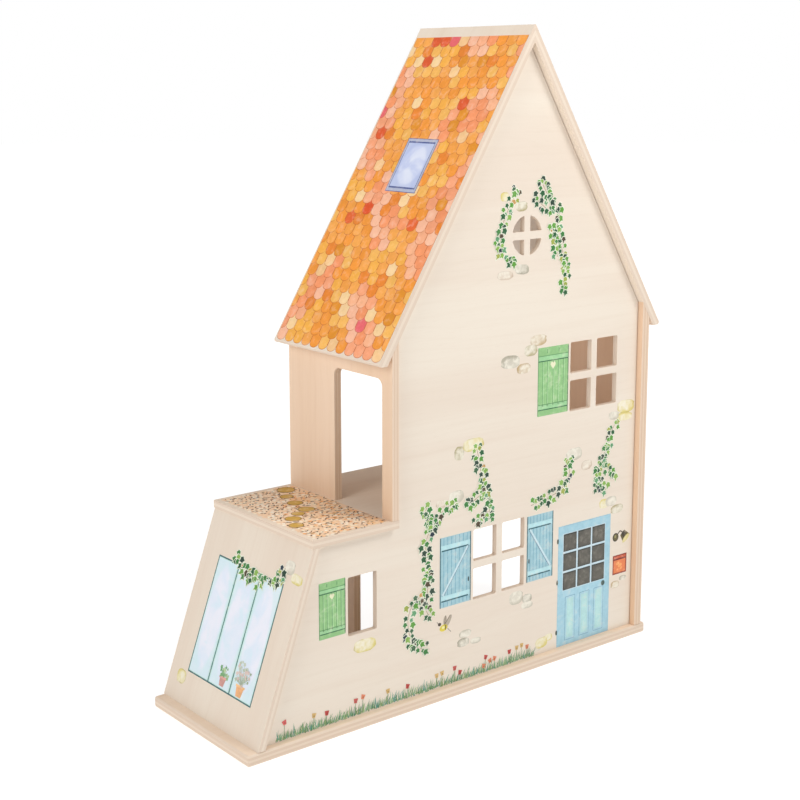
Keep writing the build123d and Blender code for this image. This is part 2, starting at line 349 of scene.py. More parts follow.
def glassInk(name, cloudTint, veilTint, edgeTint):
    # pale sky in the panes: clouds and veils of a second and third colour
    finish = Finish(name, 0.42)
    spot = finish.place()
    clouds = finish.noise(spot, inkLook["skyClouds"], 3.0, 0.5, 0.8)
    veils = finish.noise(spot, inkLook["skyVeils"], 2.0, 0.5, 0.3)
    sky = finish.stain(inkColour(finish), cloudTint, clouds, 0.4, 0.62)
    sky = finish.stain(sky, veilTint, veils, 0.52, 0.72, 0.6)
    finish.set("Base Color", finish.mix(rimOf(finish, 0.4) * 0.5, sky, edgeTint))
    return finish.material


tileInk = ink("tileInk", 0.25, 0.28, 0.84)
paintInk = ink("paintInk", 0.3, 0.25, 0.8)
leafInk = ink("leafInk", 0.08, 0.04, 0.66)
paneInk = ink("paneInk", 0.12, 0.5, 0.6)
paleStone = stoneInk()
greenhouseGlass = glassInk("greenhouseGlass", rgb(238, 240, 251), rgb(214, 236, 247), rgb(206, 236, 238))
skylightGlass = glassInk("skylightGlass", rgb(226, 232, 250), rgb(186, 194, 230), rgb(170, 184, 226))
print("finishes ready")


# blanks: each shape of print modelled once, one unit wide, high and thick
blankShape = {
    "stoneBevel": 0.36, "stoneWear": 0.045,
    "leafNotch": 0.62, "leafTip": 0.18,
    "potFoot": 0.62,
    "tileDip": 0.42,    # height of a tile's round end, for a tile one unit wide
    "tileCutter": 0.475, "tileCorners": 24,
}
blanks = []


def mode(name):
    bpy.ops.object.mode_set(mode=name)


def pick(piece, low=-9.0, high=9.0, every=1):
    # selects the vertices between two heights, or only every second of them, and stays in edit mode
    mode("EDIT")
    bpy.ops.mesh.select_mode(type="VERT")
    bpy.ops.mesh.select_all(action="DESELECT")
    mode("OBJECT")
    for vertex in piece.data.vertices:
        vertex.select = low < vertex.co.y < high and vertex.index % every == every - 1
    mode("EDIT")


def move(x, y, z=0.0):
    bpy.ops.transform.translate(value=(x, y, z))


def resize(x, y, z=1.0):
    bpy.ops.transform.resize(value=(x, y, z), center_override=(0, 0, 0))


def startBlank(name, corners, turn=0.0):
    bpy.ops.object.select_all(action="DESELECT")
    bpy.ops.mesh.primitive_circle_add(vertices=corners, radius=0.5, fill_type="NGON", rotation=(0, 0, turn))
    blank = bpy.context.object
    blank.name = name
    bpy.ops.object.transform_apply(location=False, rotation=True, scale=False)
    return blank


def startSquare(name):
    blank = startBlank(name, 4, pi / 4)
    pick(blank)
    resize(2 ** 0.5, 2 ** 0.5)
    return blank


def thicken(blank):
    pick(blank)
    bpy.ops.mesh.extrude_region_move(TRANSFORM_OT_translate={"value": (0, 0, 1)})
    bpy.ops.mesh.select_all(action="SELECT")
    bpy.ops.mesh.normals_make_consistent(inside=False)
    mode("OBJECT")


def markBlank(blank):
    # the flat map follows the shape, and the ink attribute waits for each copy's colour
    flat = blank.data.uv_layers.new(name="flat")
    for loop in blank.data.loops:
        place = blank.data.vertices[loop.vertex_index].co
        flat.data[loop.index].uv = (place.x + 0.5, place.y + 0.5)
    blank.data.attributes.new("ink", "FLOAT_COLOR", "POINT")
    blanks.append(blank)
    return blank


def finishBlank(blank):
    thicken(blank)
    return markBlank(blank)


def roundBlank(name, corners):
    return finishBlank(startBlank(name, corners))


def stoneBlank(name, seed):
    # a squarish stone with worn corners, no two sides alike
    blank = startSquare(name)
    bpy.ops.mesh.bevel(offset=blankShape["stoneBevel"], segments=4, affect="VERTICES")
    bpy.ops.transform.vertex_random(offset=blankShape["stoneWear"], seed=seed)
    resize(1.0, 1.0, 0.0)
    return finishBlank(blank)


def leafBlank():
    # five lobes: every other corner drawn in, the end lobe long, the stem side short
    blank = startBlank("leafBlank", 10)
    pick(blank, every=2)
    resize(blankShape["leafNotch"], blankShape["leafNotch"])
    pick(blank, low=0.45)
    move(0.0, blankShape["leafTip"])
    pick(blank, high=-0.35)
    resize(0.8, 0.75)
    return finishBlank(blank)


def heartBlank():
    # a circle with its top drawn down, its foot drawn out and its lower half made slimmer
    blank = startBlank("heartBlank", 16)
    pick(blank, low=0.49)
    move(0.0, -0.26)
    pick(blank, high=-0.49)
    move(0.0, -0.2)
    pick(blank, -0.49, -0.1)
    resize(0.82, 1.0)
    return finishBlank(blank)


def bladeBlank():
    # a blade of grass standing on y = 0, narrowing and leaning over as it rises
    blank = startSquare("bladeBlank")
    move(0.0, 0.5)
    bpy.ops.mesh.subdivide(number_cuts=2)
    pick(blank, 0.3, 0.4)
    resize(0.8, 1.0)
    pick(blank, 0.6, 0.7)
    resize(0.5, 1.0)
    move(0.25, 0.0)
    pick(blank, low=0.95)
    resize(0.1, 1.0)
    move(0.9, 0.0)
    return finishBlank(blank)


def wedgeBlank():
    # a pot, petal cup or lamp shade: wide at the top, narrow at the foot
    blank = startSquare("wedgeBlank")
    pick(blank, high=0.0)
    resize(blankShape["potFoot"], 1.0)
    return finishBlank(blank)


def tileBlank():
    # a roof tile: round below, hollowed above where the two tiles over it hang down
    dip = 2 * blankShape["tileDip"]
    corners = blankShape["tileCorners"]
    blank = startBlank("tileBlank", corners)
    pick(blank)
    resize(1.0, dip)
    pick(blank, low=-0.01)
    resize(1.0, 0.0)
    move(0.0, 1.0)
    thicken(blank)
    for side in (-0.5, 0.5):
        bpy.ops.object.select_all(action="DESELECT")
        bpy.ops.mesh.primitive_cylinder_add(vertices=corners, radius=blankShape["tileCutter"], depth=4.0,
                                            location=(side, 1.0, 0.5))
        cutter = bpy.context.object
        cutter.scale = (1.0, dip, 1.0)
        bpy.ops.object.select_all(action="DESELECT")
        blank.select_set(True)
        bpy.context.view_layer.objects.active = blank
        hollow = blank.modifiers.new("hollow", "BOOLEAN")
        hollow.operation = "DIFFERENCE"
        hollow.object = cutter
        bpy.ops.object.modifier_apply(modifier="hollow")
        bpy.data.objects.remove(cutter)
    mode("EDIT")
    bpy.ops.mesh.select_all(action="SELECT")
    bpy.ops.mesh.dissolve_limited(angle_limit=radians(2))
    mode("OBJECT")
    return markBlank(blank)


square = finishBlank(startSquare("squareBlank"))
disc = roundBlank("discBlank", 24)
pebble = roundBlank("pebbleBlank", 9)
stones = [stoneBlank("stoneBlank" + str(seed), seed) for seed in (1, 2, 3)]
leaf = leafBlank()
heart = heartBlank()
blade = bladeBlank()
wedge = wedgeBlank()
tile = tileBlank()
print("blanks:", len(blanks), "tile faces", len(tile.data.polygons))

film = {"thick": 0.05 * mm, "layer": 0.05 * mm}


def stamp(blank, colour, at, size, turn=0.0, layer=0):
    # one copy of a blank, in its colour, flat on the surface; at and size in millimetres
    piece = blank.copy()
    piece.data = blank.data.copy()
    piece.data.transform(
        Matrix.Translation((at[0] * mm, at[1] * mm, layer * film["layer"]))
        @ Matrix.Rotation(turn, 4, "Z")
        @ Matrix.Diagonal((size[0] * mm, size[1] * mm, film["thick"], 1.0)))
    shade = piece.data.attributes["ink"].data
    shade.foreach_set("color", list(colour) * len(shade))
    bpy.context.scene.collection.objects.link(piece)
    return piece


def apart(count, levels, step=0.4):
    # neighbours on slightly different levels, so that no two surfaces share one plane
    return count % levels * step


def line(colour, start, end, width, layer=0):
    # a painted line from start to end
    length = hypot(end[0] - start[0], end[1] - start[1])
    middle = ((start[0] + end[0]) / 2, (start[1] + end[1]) / 2)
    turn = atan2(end[1] - start[1], end[0] - start[0])
    return stamp(square, colour, middle, (length, width), turn, layer)


def block(colour, left, right, bottom, top, layer=0):
    middle = ((left + right) / 2, (bottom + top) / 2)
    return stamp(square, colour, middle, (right - left, top - bottom), 0.0, layer)


def inlay(colour, edges, margin, layer=0):
    # a block inside the edges (left, right, bottom, top), with one margin or four
    left, right, bottom, top = edges
    m = margin if isinstance(margin, tuple) else (margin,) * 4
    return block(colour, left + m[0], right - m[1], bottom + m[2], top - m[3], layer)


def layered(edges, *layers):
    # blocks on top of each other, each a colour, a margin and a level
    return [inlay(colour, edges, margin, level) for colour, margin, level in layers]


def trim(piece, left, right, bottom, top):
    # cuts the flat print off straight along its four sides, and closes the cuts
    cuts = (((left, 0, 0), (-1, 0, 0)), ((right, 0, 0), (1, 0, 0)),
            ((0, bottom, 0), (0, -1, 0)), ((0, top, 0), (0, 1, 0)))
    mode("EDIT")
    for place, away in cuts:
        bpy.ops.mesh.select_all(action="SELECT")
        bpy.ops.mesh.bisect(plane_co=[value * mm for value in place], plane_no=away,
                            use_fill=True, clear_outer=True)
    mode("OBJECT")


def gather(name, stamps, surface, finish, edges=None):
    # joins the stamps into one print and lays it on its board
    bpy.ops.object.select_all(action="DESELECT")
    for piece in stamps:
        piece.select_set(True)
    bpy.context.view_layer.objects.active = stamps[0]
    bpy.ops.object.join()
    piece = bpy.context.object
    piece.name = name
    if edges:
        trim(piece, *edges)
    piece.data.transform(surface)
    coat(piece, finish)
    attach(piece, "root")


def surfaceOn(node, start=Vector((0, 0, 0)), up=(0, 0, 1)):
    # x across, y up and z out of the board's face, from the point of the face nearest to start
    face = widestFace(node, Vector(boards[node][0]))
    outward = face.normal.normalized()
    upward = (Vector(up) - outward * outward.dot(Vector(up))).normalized()
    across = upward.cross(outward)
    origin = start - outward * (start - face.center).dot(outward)
    return Matrix.Translation(origin) @ Matrix((across, upward, outward)).transposed().to_4x4()


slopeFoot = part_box("annex_slope_wall")[0]
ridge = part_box("roof_panel_left")[1]
facadeFace = surfaceOn("facade_panel")
terraceFace = surfaceOn("deck_floor_board", up=(0, 1, 0))
slopeFace = surfaceOn("annex_slope_wall", Vector((slopeFoot.x, 0, slopeFoot.z)))
leftRoofFace = surfaceOn("roof_panel_left", Vector((ridge.x, 0, ridge.z)))
rightRoofFace = surfaceOn("roof_panel_right", Vector((ridge.x, 0, ridge.z)))

# roof tiles: rows of scalloped tiles in watercolour oranges
roofPrint = {
    "columns": 12, "rows": 29,
    "ridgeMargin": 14.0, "eaveMargin": 4.0, "frontMargin": 1.4, "backMargin": 2.2,
    "gap": 0.8,
    "moodWide": 60.0, "moodTall": 75.0,    # size of the patches in which tiles are alike
    "rare": (("red", 0.035), ("deep", 0.11), ("pale", 0.17)),    # running shares of the rarer families
    "outline": rgb(204, 104, 46),
    "amber": [rgb(253, 172, 80), rgb(254, 182, 74), rgb(251, 158, 56), rgb(253, 190, 94),
              rgb(251, 166, 70)],
    "peach": [rgb(255, 182, 140), rgb(253, 168, 124), rgb(251, 156, 104), rgb(255, 192, 158)],
    "pale": [rgb(255, 216, 160), rgb(254, 206, 148)],
    "deep": [rgb(240, 138, 44), rgb(234, 150, 36)],
    "red": [rgb(228, 84, 32), rgb(238, 106, 46), rgb(230, 92, 40), rgb(236, 104, 110)],
}


def tileColour(dice, place, seed):
    # neighbours are alike: a slow drift picks the family, the dice pick the tile
    spot = Vector((place[0] / roofPrint["moodWide"], place[1] / roofPrint["moodTall"], seed * 10.0))
    chance = dice.random()
    rare = [family for family, share in roofPrint["rare"] if chance < share]
    if rare:
        family = rare[0]
    else:
        family = "peach" if noise.noise(spot) + dice.uniform(-0.16, 0.16) > 0.13 else "amber"
    return scaled(dice.choice(roofPrint[family]), dice.uniform(0.95, 1.05))


def roofTiles(name, panel, surface, frontSign, seed):
    look = roofPrint
    dice = random.Random(seed)
    low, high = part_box(panel)
    slopeLength = hypot(high.x - low.x, high.z - low.z) / mm
    # on the left roof the front edge lies on the right of the print, on the right roof on its left
    if frontSign < 0:
        left, right = -high.y / mm + look["backMargin"], -low.y / mm - look["frontMargin"]
    else:
        left, right = low.y / mm + look["frontMargin"], high.y / mm - look["backMargin"]
    top, bottom = -look["ridgeMargin"], look["eaveMargin"] - slopeLength
    width = (right - left) / look["columns"]
    pitch = (top - bottom) / look["rows"]
    dip = blankShape["tileDip"] * pitch
    gap = look["gap"]
    stamps = [block(look["outline"], left, right, bottom + dip, top)]
    for row in range(look["rows"] + 1):
        halves = row % 2    # every other row starts and ends with half a tile
        for column in range(look["columns"] + halves):
            at = (left + (column + 0.5 - 0.5 * halves) * width, bottom + dip + row * pitch)
            if row == 0:
                stamps.append(stamp(tile, look["outline"], at, (width - 0.1, pitch), 0.0, 0.3))
            size = (width - gap * dice.uniform(0.6, 1.0), pitch - gap)
            stamps.append(stamp(tile, tileColour(dice, at, seed), (at[0], at[1] + gap * 0.3), size,
                                dice.uniform(-0.02, 0.02), 1))
    gather(name, stamps, surface, tileInk, (left, right, bottom - 1.0, top))


roofTiles("leftRoofTiles", "roof_panel_left", leftRoofFace, -1, 3)
roofTiles("rightRoofTiles", "roof_panel_right", rightRoofFace, 1, 4)
print("roof tiles laid")

# skylight on the left roof; four margins are those at the left, right, bottom and top
skylight = {
    "middle": (0.0, -184.0),
    "size": (53.0, 69.0),
    "rim": 0.8,
    "sash": (3.4, 3.4, 4.6, 4.0),
    "pane": (4.2, 4.2, 6.6, 6.0),
    "frame": rgb(186, 192, 216),
    "line": rgb(86, 102, 160),
    "glass": rgb(200, 210, 242),
}


def paintSkylight():
    x, y = skylight["middle"]
    wide, tall = skylight["size"]
    edges = (x - wide / 2, x + wide / 2, y - tall / 2, y + tall / 2)
    sash = layered(edges, (skylight["line"], 0, 2), (skylight["frame"], skylight["rim"], 3),
                   (skylight["line"], skylight["sash"], 4))
    glass = layered(edges, (skylight["glass"], skylight["pane"], 5))
    gather("skylightFrame", sash, leftRoofFace, paintInk)
    gather("skylightGlass", glass, leftRoofFace, skylightGlass)


paintSkylight()

# terrace: crazy paving with a row of round stepping stones
paving = {
    "leftMargin": 6.0, "rightMargin": 1.5, "frontMargin": 4.5, "backMargin": 4.0,
    "spacing": 5.6, "rowShare": 0.84,
    "fringe": 1.5,    # how far the stones run past the grout
    "speckShare": 0.7,
    "grout": rgb(252, 214, 178),
    "creams": [rgb(254, 236, 208), rgb(253, 225, 192), rgb(255, 243, 224), rgb(250, 214, 178)],
    "oranges": [rgb(250, 194, 134), rgb(247, 178, 112), rgb(253, 210, 160)],
    "specks": [rgb(98, 54, 30), rgb(128, 74, 40), rgb(70, 40, 26)],
    "steppingStone": rgb(208, 164, 66),
    "stoneShade": rgb(150, 108, 40),
    "stones": [(-131, 78, 21), (-146, 55, 15), (-153, 28, 17), (-157, 0, 18), (-174, -8, 14),
               (-189, -20, 17), (-200, -42, 16)],    # x, y and size
}


def terracePaving():
    look = paving
    dice = random.Random(21)
    low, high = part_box("deck_floor_board")
    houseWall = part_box("upper_left_wall")[0]
    left = low.x / mm + look["leftMargin"]
    right = houseWall.x / mm - look["rightMargin"]
    bottom = low.y / mm + look["frontMargin"]
    top = high.y / mm - look["backMargin"]
    fringe = look["fringe"]
    step = look["spacing"]
    rowStep = step * look["rowShare"]
    stamps = [block(look["grout"], left + fringe, right, bottom + fringe, top - fringe)]
    for row in range(int((top - bottom) / rowStep)):
        y = bottom + (row + 0.5) * rowStep
        for column in range(int((right - left) / step)):
            x = left + (column + 0.3 + 0.5 * (row % 2)) * step + dice.uniform(-0.8, 0.8)
            warm = (x - left) / (right - left) * 0.7 + (top - y) / (top - bottom) * 0.5
            colour = dice.choice(look["oranges"] if dice.random() < warm - 0.35 else look["creams"])
            size = (step * dice.uniform(0.74, 0.98), rowStep * dice.uniform(0.7, 0.98))
            place = (x, y + dice.uniform(-0.7, 0.7))
            stamps.append(stamp(pebble, colour, place, size, dice.uniform(-0.4, 0.4),
                                1 + apart(column + 2 * row, 4)))
            if dice.random() < look["speckShare"]:
                place = (x + step * 0.5 + dice.uniform(-0.8, 0.8),
                         y + dice.choice((-0.5, 0.0, 0.5)) * rowStep)
                size = (dice.uniform(2.2, 5.8), dice.uniform(1.0, 2.0))
                stamps.append(stamp(pebble, dice.choice(look["specks"]), place, size,
                                    dice.choice((0.0, 0.9, -0.9)) + dice.uniform(-0.3, 0.3),
                                    3 + apart(column + 2 * row, 5)))
    gather("terracePaving", stamps, terraceFace, paintInk,
           (left - fringe, right, bottom - fringe, top + fringe))
    steps = []
    for x, y, size in look["stones"]:
        turn = dice.uniform(-0.6, 0.6)
        steps.append(stamp(disc, look["stoneShade"], (x, y), (size * 1.13, size * 1.04), turn, 5))
        steps.append(stamp(disc, look["steppingStone"], (x, y), (size, size * 0.92), turn, 6))
    gather("steppingStones", steps, terraceFace, paintInk)


terracePaving()
print("terrace paved")

# shutters: places are shares of the shutter's width or height
greenPaint = {
    "grooves": (0.16, 0.31, 0.5, 0.67, 0.84),    # between the planks
    "shortGrooves": (0.3, 0.68),    # above the upper batten
    "battens": (0.8, 0.09), "battenTall": 0.075,
    "heartAt": (0.49, 0.735), "heartTall": 0.095,
    "board": rgb(150, 202, 136),
    "batten": rgb(162, 216, 158),
    "groove": rgb(92, 152, 96),
    "shade": rgb(58, 118, 78),
    "light": rgb(192, 234, 178),
    "heart": rgb(236, 238, 200),
}
bluePaint = {
    "planks": 8,
    "battens": (0.81, 0.09), "battenTall": 0.075,
    "braceWide": 3.4, "braceInset": 4.5,
    "latchInset": 3.6, "latchHeight": 0.32, "latchSize": (1.8, 6.0),
    "board": rgb(164, 206, 217),
    "batten": rgb(190, 232, 238),
    "groove": rgb(110, 166, 192),
    "shade": rgb(38, 98, 112),
    "brace": rgb(206, 232, 240),
    "braceShade": rgb(90, 120, 150),
    "latch": rgb(46, 60, 60),
}


def greenShutter(name, left, right, bottom, top):
    paint = greenPaint
    wide, tall = right - left, top - bottom
    stamps = [block(paint["board"], left, right, bottom, top)]
    for share in paint["grooves"]:
        x = left + share * wide
        for colour, aside in ((paint["groove"], 0.0), (paint["light"], 0.9)):    # each with a light side
            start, end = (x + aside, bottom + 0.14 * tall), (x + aside, top - 0.2 * tall)
            stamps.append(line(colour, start, end, 0.7, 1))
    for share in paint["shortGrooves"]:
        x = left + share * wide
        stamps.append(line(paint["groove"], (x, top - 0.09 * tall), (x, top - 0.03 * tall), 0.8, 1))
    for height in paint["battens"]:
        low = bottom + height * tall
        high = low + paint["battenTall"] * tall
        stamps += [block(paint["batten"], left + 0.5, right - 0.8, low, high, 1),
                   line(paint["shade"], (left + 0.5, low), (right - 0.8, low), 1.2, 2),
                   line(paint["groove"], (left + 0.5, high), (right - 0.8, high), 0.7, 2)]
    stamps += [line(paint["shade"], (right - 0.5, bottom + 1), (right - 0.5, top - 1), 1.0, 2),
               line(paint["groove"], (left + 0.4, bottom + 1), (left + 0.4, top - 1), 0.8, 2)]
    across, up = paint["heartAt"]
    heartTall = paint["heartTall"] * tall
    stamps.append(stamp(heart, paint["heart"], (left + across * wide, bottom + up * tall),
                        (heartTall * 1.1, heartTall), 0.0, 3))
    gather(name, stamps, facadeFace, paintInk)


def blueShutter(name, left, right, bottom, top, latchLeft):
    paint = bluePaint
    wide, tall = right - left, top - bottom
    stamps = [block(paint["board"], left, right, bottom, top)]
    for index in range(1, paint["planks"]):
        x = left + wide * index / paint["planks"]
        stamps.append(line(paint["groove"], (x, bottom + 1), (x, top - 0.6), 0.7, 1))
    upper, lower = [bottom + height * tall for height in paint["battens"]]
    for y in (upper, lower):
        stamps.append(block(paint["batten"], left + 1.5, right - 1.5, y, y + paint["battenTall"] * tall, 2))
        stamps.append(line(paint["shade"], (left + 2.5, y), (right - 4, y), 1.6, 3))
    latchSide, hingeSide, inward = (left, right, 1) if latchLeft else (right, left, -1)
    foot, head = hingeSide - inward * paint["braceInset"], latchSide + inward * paint["braceInset"]
    stamps.append(line(paint["brace"], (foot, lower + 7), (head, upper - 1), paint["braceWide"], 4))
    lean = inward * 1.6
    stamps.append(line(paint["braceShade"], (foot - lean, lower + 7), (head - lean, upper - 1), 0.6, 5))
    for x in (left + 0.6, right - 0.6):
        stamps.append(line(paint["shade"], (x, bottom), (x, top), 1.1, 5))
    latch = (latchSide + inward * paint["latchInset"], bottom + paint["latchHeight"] * tall)
    stamps.append(stamp(disc, paint["latch"], latch, paint["latchSize"], 0.0, 5))
    gather(name, stamps, facadeFace, paintInk)


greenShutter("upperGreenShutter", 112, 162, 309, 391)
greenShutter("annexGreenShutter", -205, -170, 112, 175)
blueShutter("leftBlueShutter", -37, 9.6, 108, 191, False)
blueShutter("rightBlueShutter", 98.4, 141.4, 108.6, 190, True)
print("shutters hung")

# front door: edges are left, right, bottom and top
frontDoor = {
    "edges": (151.0, 242.0, 14.0, 167.0),
    "panes": (160.0, 232.0, 85.0, 156.0),
    "bar": 2.6,
    "panelMiddles": (173.0, 198.0, 223.0), "panelWidth": 17.0, "panelHeights": (20.0, 76.0),
    "knobAt": (230.0, 80.0),
    "hingeHeights": (33, 97, 149),
    "paint": rgb(170, 214, 230),
    "rim": rgb(158, 204, 224),
    "light": rgb(178, 220, 232),
    "line": rgb(112, 160, 190),
    "barPaint": rgb(206, 228, 238),
    "pane": rgb(98, 95, 86),
    "paneShade": rgb(56, 60, 56),
    "panel": rgb(186, 228, 228),
    "knob": rgb(62, 92, 90),
    "hinge": rgb(70, 78, 66),
}


def paintDoor():
    door = frontDoor
    stamps = layered(door["edges"], (door["rim"], 0, 0), (door["paint"], 1.0, 1))
    stamps.append(inlay(door["barPaint"], door["panes"], -1.0, 2))
    for middle in door["panelMiddles"]:
        panel = (middle - door["panelWidth"] / 2, middle + door["panelWidth"] / 2, *door["panelHeights"])
        stamps += layered(panel, (door["line"], 0, 2), (door["light"], 0.6, 3), (door["panel"], 3.0, 4))
    x, z = door["knobAt"]
    stamps += [stamp(disc, door["hinge"], (x + 0.5, z - 0.5), (6.4, 6.4), 0.0, 4),
               stamp(disc, door["knob"], (x, z), (5.2, 5.2), 0.0, 5)]
    stamps += [stamp(disc, door["hinge"], (door["edges"][0] - 0.8, z), (3.0, 6.4), 0.0, 2)
               for z in door["hingeHeights"]]
    gather("frontDoorPaint", stamps, facadeFace, paintInk)

    left, right, bottom, top = door["panes"]
    bar = door["bar"]
    wide, tall = (right - left - 2 * bar) / 3, (top - bottom - 2 * bar) / 3
    panes = []
    for column in range(3):
        for row in range(3):
            x, z = left + column * (wide + bar), bottom + row * (tall + bar)
            pane = (x, x + wide, z, z + tall)
            panes += layered(pane, (door["paneShade"], 0, 3), (door["pane"], (1.2, 1.0, 1.0, 1.6), 4))
    gather("frontDoorPanes", panes, facadeFace, paneInk)


paintDoor()

# letter box, wall lamp and bee
letterBox = {
    "edges": (248.0, 273.0, 85.0, 110.0),    # left, right, bottom, top
    "rim": 1.7,
    "blots": ((9, 14, 7), (13, 11, 8), (15, 7, 5), (9, 6, 4)),    # across, up and width
    "line": rgb(150, 48, 28), "paint": rgb(240, 134, 82), "lid": rgb(208, 92, 56),
    "slot": rgb(120, 34, 20), "light": rgb(252, 172, 104),
}
wallLamp = {"olive": rgb(104, 94, 54), "dark": rgb(56, 48, 30), "shine": rgb(160, 150, 96),
            "glow": rgb(226, 214, 150)}
bee = {"wing": rgb(186, 172, 154), "dark": rgb(74, 62, 48), "body": rgb(228, 208, 66),
       "shine": rgb(248, 240, 170)}


def paintLetterBox():
    box = letterBox
    left, right, bottom, top = box["edges"]
    rim = box["rim"]
    stamps = layered(box["edges"], (box["line"], 0, 0), (box["paint"], rim, 1))
    stamps += [block(box["lid"], left + rim, right - rim, top - 4.6, top - rim, 2),
               block(box["slot"], left + rim, right - rim, top - 6.6, top - 4.6, 2)]
    for x, y, wide in box["blots"]:
        stamps.append(stamp(pebble, box["light"], (left + x, bottom + y), (wide, wide * 0.6), 0.4,
                            2 + apart(wide, 3)))
    gather("letterBoxPaint", stamps, facadeFace, paintInk)


def paintLamp():
    olive, dark = wallLamp["olive"], wallLamp["dark"]
    stamps = [stamp(disc, dark, (252, 134), (10.5, 11), 0.0),
              stamp(disc, olive, (252, 134), (8.0, 8.6), 0.0, 1),
              stamp(disc, wallLamp["shine"], (251.4, 135), (3.6, 3.8), 0.0, 2),
              line(dark, (255, 137), (260, 141), 1.4, 1),
              line(dark, (260, 141), (264, 139), 1.4, 1),
              stamp(wedge, olive, (268, 133.5), (15, 12), pi + 0.7, 1),
              stamp(wedge, dark, (266.4, 136), (8, 7), pi + 0.7, 2),
              stamp(disc, wallLamp["glow"], (270.6, 129.6), (15, 6), 0.66, 3)]
    gather("wallLampPaint", stamps, facadeFace, paintInk)


def paintBee():
    wing, dark = bee["wing"], bee["dark"]
    stamps = [stamp(disc, wing, (-28.6, 92), (5.4, 12.4), -0.1, 0),
              stamp(disc, wing, (-23, 91.4), (5.2, 14), -0.5, 0.4),
              line(dark, (-30, 87), (-21.6, 97), 0.6, 1),
              line(dark, (-29.4, 87), (-28.2, 98), 0.5, 1.4),
              stamp(disc, bee["body"], (-31, 84), (12, 8), 0.15, 1),
              stamp(disc, bee["shine"], (-31.6, 84.6), (4.4, 3.4), 0.0, 2),
              line(dark, (-28.4, 81.4), (-27.6, 87), 1.3, 2),
              stamp(disc, dark, (-37, 89.4), (4.6, 4.0), 0.0, 2),
              line(dark, (-38, 90), (-41, 93), 0.5, 2),
              line(dark, (-25, 82), (-20, 77), 0.5, 1)]
    gather("beePaint", stamps, facadeFace, leafInk)


paintLetterBox()
paintLamp()
paintBee()
print("door furniture and bee painted")

# stones that show through the plaster: x, y, width, height and colour
stoneColours = {
    "lemon": rgb(220, 204, 108), "olive": rgb(170, 156, 106), "tan": rgb(190, 160, 112),
    "grey": rgb(168, 160, 140), "rose": rgb(206, 184, 162), "white": rgb(200, 192, 174),
}
facadeStones = [
    (56, 570, 13, 10, "lemon"), (82, 558, 18, 11, "olive"), (84, 486, 22, 11, "grey"),
    (58, 481, 24, 10, "rose"), (112, 401, 26, 13, "tan"), (100, 390, 20, 13, "olive"),
    (68, 380, 29, 15, "grey"), (89, 370, 21, 12, "tan"), (12, 292, 31, 15, "lemon"),
    (-9, 285, 14, 16, "olive"), (-13, 235, 22, 15, "white"), (-34, 231, 18, 9, "rose"),
    (175, 254, 27, 15, "white"), (197, 237, 18, 12, "rose"), (264, 301, 30, 16, "lemon"),
    (262, 288, 28, 10, "lemon"), (243, 292, 18, 10, "white"), (242, 183, 20, 12, "white"),
    (229, 182, 15, 12, "lemon"), (253, 171, 22, 11, "olive"), (82, 94, 22, 16, "white"),
    (100, 89, 15, 11, "grey"), (100, 81, 19, 8, "white"), (2, 69, 18, 9, "white"),
    (-1, 59, 18, 10, "grey"), (18, 57, 16, 7, "white"), (125, 27, 20, 13, "lemon"),
    (137, 31, 12, 9, "lemon"), (119, 21, 12, 7, "white"), (253, 72, 15, 9, "tan"),
    (267, 78, 13, 6, "grey"), (-144, 92, 30, 15, "lemon"),
]
slopeStones = [(67, 190, 17, 15, "white"), (83, 181, 20, 11, "lemon"), (-72, 28, 18, 15, "lemon")]


def plasterStones(name, places, surface, seed):
    dice = random.Random(seed)
    stamps = []
    for index, (x, y, wide, tall, kind) in enumerate(places):
        flip = dice.choice((0.0, pi))
        stamps.append(stamp(dice.choice(stones), stoneColours[kind], (x, y), (wide, tall),
                            flip + dice.uniform(-0.07, 0.07), apart(index, 3)))
    gather(name, stamps, surface, paleStone)


plasterStones("facadeStones", facadeStones, facadeFace, 5)
plasterStones("slopeStones", slopeStones, slopeFace, 6)

